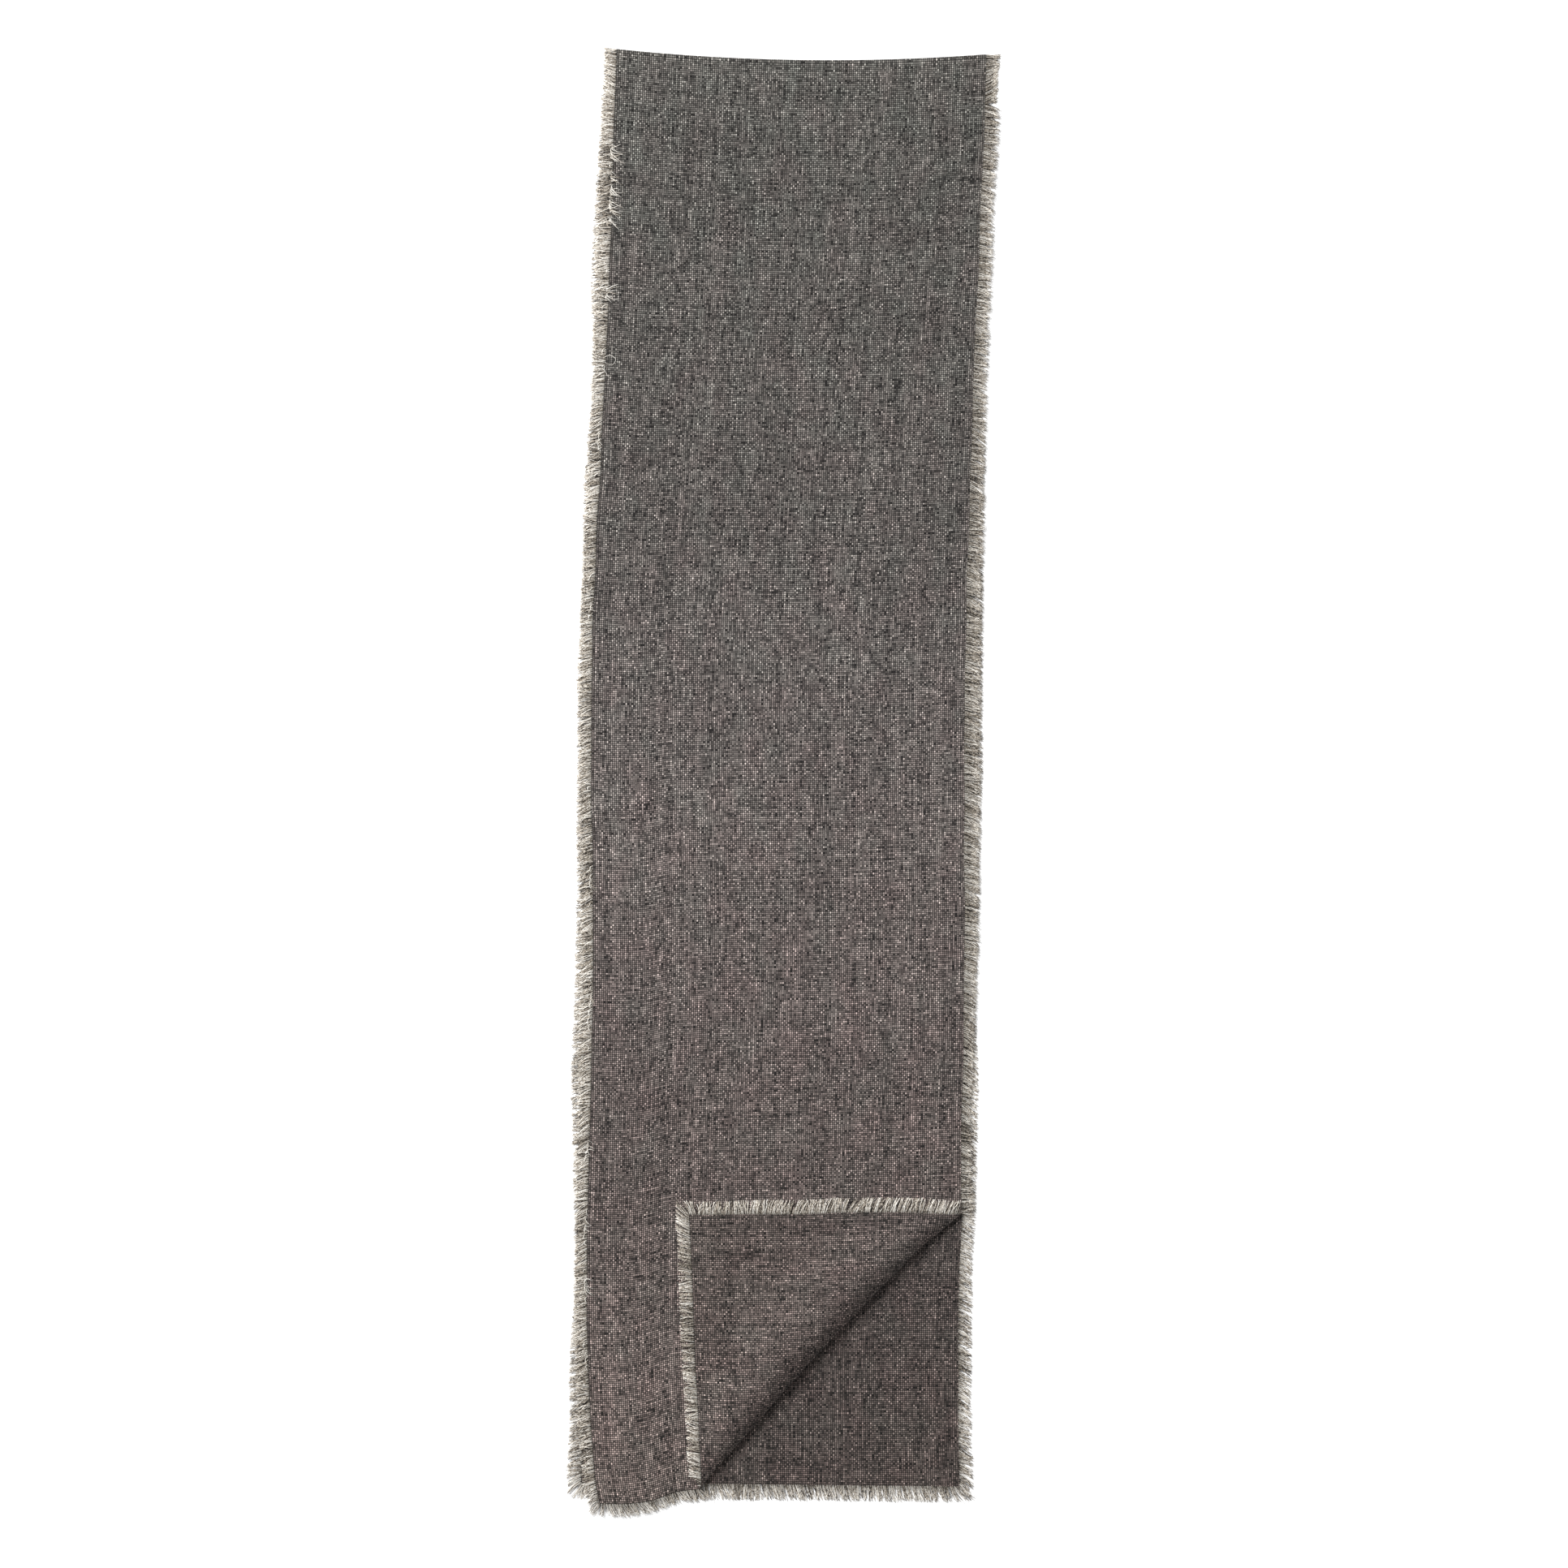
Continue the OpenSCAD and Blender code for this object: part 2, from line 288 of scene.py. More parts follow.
def cloth(name, S, V, bodies):
    ss, vv = np.meshgrid(S, V)
    P, wh, wc = place(ss, vv)
    G = np.cross(np.gradient(P, axis=1), np.gradient(P, axis=0))
    N = G / np.linalg.norm(G, axis=-1, keepdims=True)
    rows, cols = ss.shape
    n = rows * cols
    inner, outer = P + N * THICK / 2, P - N * THICK / 2
    verts = np.concatenate([inner.reshape(-1, 3), outer.reshape(-1, 3)])
    idx = np.arange(n).reshape(rows, cols)
    quad = np.stack([idx[:-1, :-1], idx[:-1, 1:], idx[1:, 1:], idx[1:, :-1]], -1).reshape(-1, 4)
    ring = np.concatenate([idx[0, :], idx[1:, -1], idx[-1, -2::-1], idx[-2:0:-1, 0]])
    nxt = np.roll(ring, -1)
    wall = np.stack([nxt, ring, ring + n, nxt + n], -1)
    faces = np.concatenate([quad, quad[:, ::-1] + n, wall])
    # the third number is the side: 1 is the reverse, which faces in at the half fold
    flat = np.stack([ss, vv, np.ones_like(ss)], -1).reshape(-1, 3)
    ob = make_mesh(name, verts, faces, {"flat": np.concatenate([flat, flat * [1, 1, 0]])})
    me = ob.data
    edges = np.zeros(len(me.edges) * 2, np.int64)
    me.edges.foreach_get("vertices", edges)
    edges = edges.reshape(-1, 2)
    on_rim = np.zeros(2 * n, bool)
    on_rim[ring] = on_rim[ring + n] = True
    sharp = on_rim[edges].all(1) & ((edges[:, 0] < n) == (edges[:, 1] < n))
    mark = me.attributes.new("sharp_edge", "BOOLEAN", "EDGE")
    mark.data.foreach_set("value", sharp)
    return hold(ob, bodies[0], bodies[1])


def tubes(paths, radius, sides):
    """Closed tubes of several sides. paths is (tubes, points, 3) and radius (tubes, points)."""
    n, m, _ = paths.shape
    d = np.gradient(paths, axis=1)
    d /= np.maximum(np.linalg.norm(d, axis=-1, keepdims=True), 1e-9)
    ref = np.zeros_like(d)
    ref[..., 2] = 1
    steep = np.abs(d[..., 2:3]) > 0.93
    ref = np.where(steep, np.array([1.0, 0, 0]), ref)
    a = np.cross(d, ref)
    a /= np.linalg.norm(a, axis=-1, keepdims=True)
    b = np.cross(a, d)
    ang = np.arange(sides) * 2 * math.pi / sides
    rings = (paths[:, :, None] + radius[..., None, None]
             * (a[:, :, None] * np.cos(ang)[:, None] + b[:, :, None] * np.sin(ang)[:, None]))
    verts = rings.reshape(-1, 3)
    base = (np.arange(n) * m * sides)[:, None, None]
    ring = (np.arange(m - 1) * sides)[None, :, None]
    k = np.arange(sides)[None, None, :]
    k2 = (k + 1) % sides
    quads = np.stack([base + ring + k, base + ring + k2, base + ring + sides + k2, base + ring + sides + k], -1)
    quads = quads.reshape(-1, 4)[:, ::-1]
    start = (base[:, 0] + np.arange(sides)[None, :])
    stop = start + (m - 1) * sides
    return verts, quads, start, stop[:, ::-1]


def tube_piece(name, groups, bodies):
    """One piece of many tubes. groups holds (paths, radius, sides, weights, strand values (tubes, points, 3))."""
    V, F, W, A, at = [], [], [], [], 0
    for paths, radius, sides, w, info in groups:
        v, q, c0, c1 = tubes(paths, radius, sides)
        V.append(v)
        F += (q + at).tolist() + (c0 + at).tolist() + (c1 + at).tolist()
        W.append(np.repeat(w, paths.shape[1] * sides))
        A.append(np.repeat(info.reshape(-1, 3), sides, axis=0))
        at += len(v)
    verts = np.concatenate(V)
    me = bpy.data.meshes.new(name)
    me.from_pydata((verts * 0.001).tolist(), [], F)
    me.update()
    me.polygons.foreach_set("use_smooth", np.ones(len(me.polygons), bool))
    a = me.attributes.new("strand", "FLOAT_VECTOR", "POINT")
    a.data.foreach_set("vector", np.concatenate(A).astype(np.float32).ravel())
    ob = bpy.data.objects.new(name, me)
    bpy.context.scene.collection.objects.link(ob)
    return hold(ob, bodies[0], bodies[1])


def noise1(x, seed, step):
    """Smooth noise along a line, -1 to 1."""
    r = np.random.default_rng(seed).uniform(-1, 1, 4096)
    x = np.asarray(x, float) / step + 700
    i = np.floor(x).astype(int)
    t = x - i
    t = t * t * (3 - 2 * t)
    return r[i % 4096] * (1 - t) + r[(i + 1) % 4096] * t


def fringe(name, edge, lo, hi, bodies, pick, length, lean, seed, rest, wild=1.0, tail=None, tufts=()):
    """The loose ends of the yarns. edge is 'left', 'right', 'low' or 'up'. length and lean may be functions
    of the place along the edge. rest is the height that the ends sink to."""
    r = np.random.default_rng(seed)
    sideways = edge in ("left", "right")
    step = WEFT if sideways else WARP
    at = np.arange(math.ceil(lo / step), math.floor(hi / step) + 1) * step
    if sideways:
        sg = 1 if edge == "right" else -1
        S = lambda d, t: (sg * (HALF_W + d), t)
    else:
        sg = 1 if edge == "up" else -1
        S = lambda d, t: (t, sg * ((UP_LEN if sg > 0 else LOW_LEN) + d))
    groups = []
    # per yarn: two pale plies close together, a third beside them, two duller ones lower in the gaps, and a hair
    yarn_off = r.normal(0, 0.16, len(at))
    yarn_slant = r.normal(0, 0.13 * wild, len(at))
    for ply in range(6):
        hair, dull = ply == 4, ply in (2, 3)
        side = (-1 if ply % 2 else 1) * (not hair)
        t = at + yarn_off + side * (0.72 if dull else 0.62 if ply == 5 else 0.18) + r.normal(0, 0.05, len(at))
        one = np.ones_like(t)
        s0, v0 = S(-0.9, t)
        P, wh, wc = place(s0 * one, v0 * one)
        s1, v1 = S(-0.1, t)
        P1 = place(s1 * one, v1 * one)[0]
        s2, v2 = S(-0.9, t + 0.5)
        P2 = place(s2 * one, v2 * one)[0]
        D = P1 - P
        D[:, 2] *= 0.3
        D /= np.linalg.norm(D, axis=1, keepdims=True)
        T = P2 - P
        T /= np.linalg.norm(T, axis=1, keepdims=True)
        w = (wh, wc)[pick]
        L = (length(t) if callable(length) else length) * one
        L = L * (1 + 0.045 * noise1(at, seed + 11, 14) + 0.03 * noise1(at, seed + 12, 2.6))
        L = L + 0.9
        L = L * np.where(r.random(len(t)) < 0.8, r.uniform(0.95, 1.02, len(t)), r.uniform(0.72, 0.96, len(t)))
        if hair:
            L = L * r.uniform(0.7, 1.15, len(t))
        if dull:
            L = L * r.uniform(0.74, 0.98, len(t))
        L = L * (1 + 0.12 * sum((0.0 * t + much * np.exp(-((t - mid) / half) ** 2) for mid, half, much in tufts), 0.0 * t))
        slant = (lean(t) if callable(lean) else lean) * one
        slant = slant + wild * (0.13 * noise1(at, seed + 13, 11) + 0.10 * noise1(at, seed + 14, 3.3))
        slant = slant + yarn_slant + r.normal(0, 0.06 * wild, len(t)) + side * 0.04
        # flush at the half fold, fanned out at the corners
        if sideways:
            slant = slant * smooth(np.abs(t), 2, 26)
            for corner in (-LOW_LEN, UP_LEN):
                slant = slant + 0.6 * np.sign(corner) * np.exp(-np.abs(corner - t) / 7)
        else:
            slant = slant + 0.95 * np.exp(-np.abs(HALF_W - t) / 7) - 0.95 * np.exp(-np.abs(-HALF_W - t) / 7)
        if hair:
            slant = slant + r.normal(0, 0.35, len(t))
        m = 7
        u = np.linspace(0, 1, m)[None, :]
        c = np.cos(np.arctan(slant))[:, None]          # a leaning yarn reaches less far
        bend = r.normal(0, 0.8, len(t))[:, None] * wild
        wave = r.uniform(0.25, 1.0, len(t))[:, None] * np.sin(
            2 * math.pi * (u * r.uniform(0.6, 1.5, len(t))[:, None] + r.random(len(t))[:, None])) * u
        # where the fringe has been brushed up, its yarns curl back over the cloth
        tuft = np.zeros(len(t))
        for mid, half, much in tufts:
            tuft = np.maximum(tuft, much * np.exp(-((t - mid) / half) ** 2))
        curl = (r.random(len(t)) < 0.85 * tuft * (0.75 + 0.6 * noise1(at, seed + 17, 4))) & (not dull)
        over = (curl * np.minimum(tuft + 0.4, 1))[:, None]
        back = over * r.uniform(0.95, 1.65, (len(t), 1))
        out = L[:, None] * (c ** 0.5 * u - back * u ** 2.1)
        tan = L[:, None] * c ** 0.5 * slant[:, None] * (0.35 * u + 0.65 * u ** 1.5) + bend * u * u + wave
        tan = tan + over * (r.normal(0, 2.4, (len(t), 1)) * u ** 1.4
                            + 1.3 * np.sin(2 * math.pi * (u * 1.2 + r.random((len(t), 1)))) * u)
        if hair:
            tan = tan + r.normal(0, 1.1, len(t))[:, None] * u ** 2
        Q = P[:, None] + D[:, None] * out[..., None] + T[:, None] * tan[..., None]
        z0 = P[:, 2:3]
        # a yarn sinks to what is beneath: the other fringe or the floor, or the upper layer under the flap
        low = (rest + 0.5 * r.random((len(t), 1)) + 0.25 * noise1(at, seed + 15, 5)[:, None]) * np.ones_like(z0)
        on_cloth = (wc[:, None] > 0.3) & (pick == 1)
        low = np.where(on_cloth, z0 - 0.85 + 0.45 * r.random((len(t), 1)), low)
        fall = np.minimum(z0 - low, 0.62 * L[:, None])
        Q[..., 2] = z0 - fall * smooth(u, 0.02, 0.8) + 0.22 * r.random((len(t), 1)) * np.sin(
            2 * math.pi * (u * 1.3 + r.random((len(t), 1)))) * u
        Q[..., 2] += over * ((fall + 0.9) * smooth(u, 0.1, 0.55) + 1.1 * np.sin(math.pi * u) ** 2)
        if dull:
            Q[..., 2] -= 0.22 * u
        Q[..., 2] = np.maximum(Q[..., 2], 0.25)
        rad = (0.12 if hair else 0.34 if dull else 0.28) * r.uniform(0.8, 1.2, len(t))[:, None] * (1.0 - 0.38 * u ** 1.5)
        rad = rad * (1 + 0.4 * curl[:, None])
        tone = 0.60 + 0.30 * noise1(at, seed + 16, 1.9) + r.normal(0, 0.26, len(t))
        # the duller plies are coloured near-dark, partly their own duller tone and partly painted shade in the gaps
        # between the pale plies
        if dull:
            tone = 0.04 + 0.2 * tone
        tone = np.clip(tone + 0.3 * curl, 0, 1)
        info = np.stack([np.repeat(tone[:, None], m, 1), np.repeat(u, len(t), 0), np.full((len(t), m), float(hair))], -1)
        groups.append((Q, rad, 4 if ply < 2 else 3, w, info))
    for g in (tail or []):
        groups.append(g)
    return tube_piece(name, groups, bodies)


def stray(edge, at, pts, radius=0.16, tone=0.7, z=None, pick=1):
    """One stray fibre near an edge: pts are (out, along, up) from the edge's own point."""
    sg = {"left": -1, "right": 1}.get(edge)
    s, v = (sg * HALF_W, at) if sg else (at, UP_LEN)
    P, wh, wc = place(np.array([s]), np.array([v]))
    s1, v1 = (sg * (HALF_W + 0.5), at) if sg else (at, UP_LEN + 0.5)
    D = place(np.array([s1]), np.array([v1]))[0] - P
    D[:, 2] = 0
    D /= np.linalg.norm(D)
    T = np.array([[-D[0, 1], D[0, 0], 0]])
    p = np.array(pts, float)
    k = np.linspace(0, len(p) - 1, 4 * (len(p) - 1) + 1)
    q = np.stack([curve(k, list(zip(range(len(p)), p[:, i]))) for i in range(3)], -1)
    Q = P + q[:, :1] * D + q[:, 1:2] * T + q[:, 2:3] * np.array([[0, 0, 1.0]])
    m = len(Q)
    info = np.stack([np.full(m, tone), np.linspace(0.3, 1, m), np.ones(m)], -1)
    return Q[None], np.full((1, m), radius), 4, (wh, wc)[pick], info[None]


def stitches(name, lines, face, bodies, pick):
    """Rows of lockstitches just inside the edges. face is 1 for the side that faces in at the half fold."""
    groups = []
    for edge, lo, hi in lines:
        pitch, stitch = 2.6, 2.25
        at = np.arange(math.ceil(lo / pitch), math.floor(hi / pitch)) * pitch
        r = np.random.default_rng(int(abs(lo) + abs(hi) + face * 7 + len(edge)))
        off = r.normal(0, 0.07, len(at))
        u = np.linspace(0, 1, 5)[None, :]
        t = at[:, None] + stitch * u
        inset = STITCH_IN + off[:, None] + 0 * u
        if edge in ("left", "right"):
            sg = 1 if edge == "right" else -1
            s, v = sg * (HALF_W - inset), t
        else:
            sg = 1 if edge == "up" else -1
            s, v = t, sg * ((UP_LEN if sg > 0 else LOW_LEN) - inset)
        P, wh, wc = place(s, v)
        N = normals(s, v) * face
        lift = THICK / 2 + np.array([-0.22, 0.09, 0.15, 0.09, -0.22])[None, :]
        Q = P + N * lift[..., None]
        w = (wh, wc)[pick][:, 2]
        rad = np.full(Q.shape[:2], 0.20)
        info = np.stack([np.repeat(r.random(len(at))[:, None], 5, 1), np.repeat(u, len(at), 0), np.zeros(Q.shape[:2])], -1)
        groups.append((Q, rad, 5, w, info))
    return tube_piece(name, groups, bodies)


# ---------------------------------------------------------------- materials
def new_material(name):
    m = bpy.data.materials.new(name)
    m.use_nodes = True
    nt = m.node_tree
    nt.nodes.clear()
    out = nt.nodes.new("ShaderNodeOutputMaterial")
    bsdf = nt.nodes.new("ShaderNodeBsdfPrincipled")
    nt.links.new(bsdf.outputs[0], out.inputs[0])
    return m, nt, bsdf


def math_node(nt, op, a, b=None, c=None, clamp=False):
    n = nt.nodes.new("ShaderNodeMath")
    n.operation = op
    n.use_clamp = clamp
    for i, v in enumerate((a, b, c)):
        if v is None:
            continue
        if isinstance(v, (int, float)):
            n.inputs[i].default_value = v
        else:
            nt.links.new(v, n.inputs[i])
    return n.outputs[0]


def vec(nt, x, y, z=0.0):
    n = nt.nodes.new("ShaderNodeCombineXYZ")
    for i, v in enumerate((x, y, z)):
        if isinstance(v, (int, float)):
            n.inputs[i].default_value = v
        else:
            nt.links.new(v, n.inputs[i])
    return n.outputs[0]


def noise(nt, vector, scale, detail=2.0, rough=0.5, dims="3D"):
    n = nt.nodes.new("ShaderNodeTexNoise")
    n.noise_dimensions = dims
    nt.links.new(vector, n.inputs["Vector"])
    n.inputs["Scale"].default_value = scale
    n.inputs["Detail"].default_value = detail
    n.inputs["Roughness"].default_value = rough
    return n.outputs[0]


def white(nt, vector):
    n = nt.nodes.new("ShaderNodeTexWhiteNoise")
    n.noise_dimensions = "3D"
    nt.links.new(vector, n.inputs["Vector"])
    return n.outputs["Value"]


def span(nt, value, a, b, lo, hi):
    n = nt.nodes.new("ShaderNodeMapRange")
    nt.links.new(value, n.inputs[0])
    for i, v in enumerate((a, b, lo, hi)):
        n.inputs[i + 1].default_value = v
    return n.outputs[0]


def lin(c):
    return [((v / 255) / 12.92 if v <= 10 else ((v / 255 + 0.055) / 1.055) ** 2.4) for v in c] + [1.0]


def ramp(nt, value, stops):
    n = nt.nodes.new("ShaderNodeValToRGB")
    nt.links.new(value, n.inputs[0])
    el = n.color_ramp.elements
    while len(el) < len(stops):
        el.new(0.5)
    for e, (p, c) in zip(el, stops):
        e.position = p
        e.color = c
    return n.outputs[0]


def mix(nt, fac, a, b, kind="MIX"):
    n = nt.nodes.new("ShaderNodeMix")
    n.data_type = "RGBA"
    n.blend_type = kind
    for sock, v in ((n.inputs[0], fac), (n.inputs[6], a), (n.inputs[7], b)):
        if isinstance(v, (int, float)):
            sock.default_value = v
        elif isinstance(v, (list, tuple)):
            sock.default_value = v
        else:
            nt.links.new(v, sock)
    return n.outputs[2]


def cloth_material():
    m, nt, bsdf = new_material("slub_linen")
    at = nt.nodes.new("ShaderNodeAttribute")
    at.attribute_name = "flat"
    sep = nt.nodes.new("ShaderNodeSeparateXYZ")
    nt.links.new(at.outputs["Vector"], sep.inputs[0])
    X, Y = sep.outputs[0], sep.outputs[1]
    # yarns aren't quite straight or even
    wob = noise(nt, vec(nt, math_node(nt, "MULTIPLY", X, 0.05), math_node(nt, "MULTIPLY", Y, 0.05)), 1.0, 3)
    wob2 = noise(nt, vec(nt, math_node(nt, "MULTIPLY", X, 0.3), math_node(nt, "MULTIPLY", Y, 0.3), 7.0), 1.0, 2)
    jx = math_node(nt, "ADD", math_node(nt, "MULTIPLY", wob, 0.8), math_node(nt, "MULTIPLY", wob2, 0.12))
    A = math_node(nt, "DIVIDE", math_node(nt, "ADD", X, jx), WARP)
    B = math_node(nt, "DIVIDE", math_node(nt, "ADD", Y, math_node(nt, "MULTIPLY", jx, -0.9)), WEFT)
    i, j = math_node(nt, "FLOOR", A), math_node(nt, "FLOOR", B)
    fa = math_node(nt, "SUBTRACT", math_node(nt, "FRACT", A), 0.5)
    fb = math_node(nt, "SUBTRACT", math_node(nt, "FRACT", B), 0.5)
    parity = math_node(nt, "MODULO", math_node(nt, "ADD", math_node(nt, "ADD", i, j), 4000.0), 2.0)
    # each crossing is a crown, long in the direction of the yarn that is on top; its fall-off is used as painted light,
    # lit on the crown and painted shade in the gaps
    a2, b2 = math_node(nt, "MULTIPLY", fa, fa), math_node(nt, "MULTIPLY", fb, fb)
    warp_up = math_node(nt, "ADD", math_node(nt, "MULTIPLY", a2, 5.6), math_node(nt, "MULTIPLY", b2, 2.6))
    weft_up = math_node(nt, "ADD", math_node(nt, "MULTIPLY", a2, 2.6), math_node(nt, "MULTIPLY", b2, 5.6))
    far = math_node(nt, "ADD", math_node(nt, "MULTIPLY", warp_up, parity),
                    math_node(nt, "MULTIPLY", weft_up, math_node(nt, "SUBTRACT", 1.0, parity)))
    crown = math_node(nt, "SUBTRACT", 1.0, far, clamp=True)
    # each yarn has its own shade, and slubs: thick, pale lengths
    warp_id = white(nt, vec(nt, i, 3.0))
    weft_id = white(nt, vec(nt, j, 11.0))
    warp_slub = noise(nt, vec(nt, math_node(nt, "MULTIPLY", i, 3.7), math_node(nt, "MULTIPLY", Y, 0.062)), 1.0, 2)
    weft_slub = noise(nt, vec(nt, math_node(nt, "MULTIPLY", X, 0.075), math_node(nt, "MULTIPLY", j, 3.7), 5.0), 1.0, 2)
    warp_tone = math_node(nt, "ADD", math_node(nt, "MULTIPLY", warp_id, 0.46), span(nt, warp_slub, 0.33, 0.78, 0.0, 1.0))
    weft_tone = math_node(nt, "ADD", math_node(nt, "MULTIPLY", weft_id, 0.37), span(nt, weft_slub, 0.33, 0.80, 0.03, 0.90))
    top = math_node(nt, "ADD", math_node(nt, "MULTIPLY", parity, 0.48), 0.28)
    tone = math_node(nt, "ADD", math_node(nt, "MULTIPLY", warp_tone, top),
                     math_node(nt, "MULTIPLY", weft_tone, math_node(nt, "SUBTRACT", 1.0, top)))
    # streaks that run over whole crossings, mostly along the cloth
    streak = span(nt, warp_slub, 0.60, 0.80, 0.0, 1.0)
    cell = white(nt, vec(nt, i, j, 1.0))
    grain = noise(nt, vec(nt, math_node(nt, "MULTIPLY", X, 1.1), math_node(nt, "MULTIPLY", Y, 1.1), 2.0), 1.0, 3, 0.6)
    spark = span(nt, cell, 0.92, 1.0, 0.0, 1.2)
    bright = math_node(nt, "ADD", math_node(nt, "ADD", span(nt, cell, 0.0, 1.0, -0.24, 0.80), spark),
                       math_node(nt, "ADD", math_node(nt, "MULTIPLY", math_node(nt, "POWER", tone, 1.7), 1.35),
                                 math_node(nt, "MULTIPLY", streak, 0.6)))
    bright = math_node(nt, "MAXIMUM", bright, 0.0)
    bright = math_node(nt, "MULTIPLY", bright, span(nt, grain, 0.3, 0.7, 0.85, 1.12))
    # painted light: the yarns that run along the cloth stand prouder than those across it, and their crowns are painted
    # brighter for it
    bright = math_node(nt, "MULTIPLY", bright, math_node(nt, "ADD", math_node(nt, "MULTIPLY", parity, 0.24), 0.86))
    # painted light: the yarn's own tone is painted lit on each crown and fades to painted shade in the gaps between
    # yarns
    painted_crown_light_and_tone = math_node(nt, "MULTIPLY", crown, bright)
    # along the cloth: cooler at the half fold, warmer at the ends
    run = span(nt, math_node(nt, "ABSOLUTE", Y), 0.0, 1352.0, 0.0, 1.0)
    pale = ramp(nt, run, [(0.0, [0.270, 0.257, 0.235, 1]), (0.45, [0.280, 0.247, 0.229, 1]), (0.68, [0.276, 0.228, 0.212, 1]), (1.0, [0.270, 0.215, 0.195, 1])])
    # painted shade: the near-black colour laid in the gaps between yarns
    painted_gap_shade = ramp(nt, run, [(0.0, [0.013, 0.012, 0.011, 1]), (0.45, [0.013, 0.011, 0.011, 1]), (1.0, [0.012, 0.010, 0.009, 1])])
    lit = nt.nodes.new("ShaderNodeVectorMath")
    lit.operation = "SCALE"
    nt.links.new(pale, lit.inputs[0])
    nt.links.new(painted_crown_light_and_tone, lit.inputs["Scale"])
    both_ways = nt.nodes.new("ShaderNodeVectorMath")
    both_ways.operation = "ADD"
    nt.links.new(lit.outputs[0], both_ways.inputs[0])
    nt.links.new(painted_gap_shade, both_ways.inputs[1])
    # faint patches of warmer and cooler yarn
    hue = noise(nt, vec(nt, math_node(nt, "MULTIPLY", X, 0.035), math_node(nt, "MULTIPLY", Y, 0.022), 12.0), 1.0, 3, 0.6)
    tinted = nt.nodes.new("ShaderNodeVectorMath")
    tinted.operation = "MULTIPLY"
    nt.links.new(both_ways.outputs[0], tinted.inputs[0])
    nt.links.new(ramp(nt, hue, [(0.33, [0.965, 1.012, 1.0, 1]), (0.67, [1.035, 0.978, 0.985, 1])]), tinted.inputs[1])
    col = tinted.outputs[0]
    cloud = noise(nt, vec(nt, math_node(nt, "MULTIPLY", X, 0.012), math_node(nt, "MULTIPLY", Y, 0.006), 9.0), 1.0, 4, 0.6)
    drag = noise(nt, vec(nt, math_node(nt, "MULTIPLY", X, 0.30), math_node(nt, "MULTIPLY", Y, 0.028), 4.0), 1.0, 3, 0.6)
    cloud = math_node(nt, "ADD", cloud, math_node(nt, "MULTIPLY", math_node(nt, "SUBTRACT", drag, 0.5), 0.9))
    drift = math_node(nt, "MULTIPLY", span(nt, cloud, 0.3, 0.7, 0.92, 1.08),
                      ramp(nt, run, [(p, [g, g, g, 1]) for p, g in (
                          (0.0, 0.76), (0.10, 0.73), (0.30, 0.81), (0.42, 0.91), (0.54, 1.0), (0.62, 0.98), (0.70, 0.94),
                          (0.80, 0.94), (0.92, 1.06), (1.0, 1.12))]))
    # painted shade: the reverse is painted darker, most at the lower end where it lies open to view, to stand for the
    # shade on the lower layer
    painted_shade_on_reverse = math_node(nt, "MULTIPLY", sep.outputs[2], span(nt, Y, -1300.0, 1300.0, 0.42, 0.26))
    drift = math_node(nt, "MULTIPLY", drift, math_node(nt, "SUBTRACT", 1.0, painted_shade_on_reverse))
    n = nt.nodes.new("ShaderNodeVectorMath")
    n.operation = "SCALE"
    nt.links.new(col, n.inputs[0])
    nt.links.new(drift, n.inputs["Scale"])
    nt.links.new(n.outputs[0], bsdf.inputs["Base Color"])
    nt.links.new(span(nt, grain, 0.3, 0.7, 0.82, 0.96), bsdf.inputs["Roughness"])
    bsdf.inputs["Specular IOR Level"].default_value = 0.22
    bsdf.inputs["Sheen Weight"].default_value = 0.06
    bsdf.inputs["Sheen Roughness"].default_value = 0.5
    height = math_node(nt, "ADD", math_node(nt, "MULTIPLY", crown, math_node(nt, "ADD", math_node(nt, "MULTIPLY", tone, 0.35), 0.8)),
                       math_node(nt, "MULTIPLY", grain, 0.35))
    bump = nt.nodes.new("ShaderNodeBump")
    bump.inputs["Strength"].default_value = 0.55
    bump.inputs["Distance"].default_value = 0.0004
    nt.links.new(height, bump.inputs["Height"])
    nt.links.new(bump.outputs[0], bsdf.inputs["Normal"])
    return m


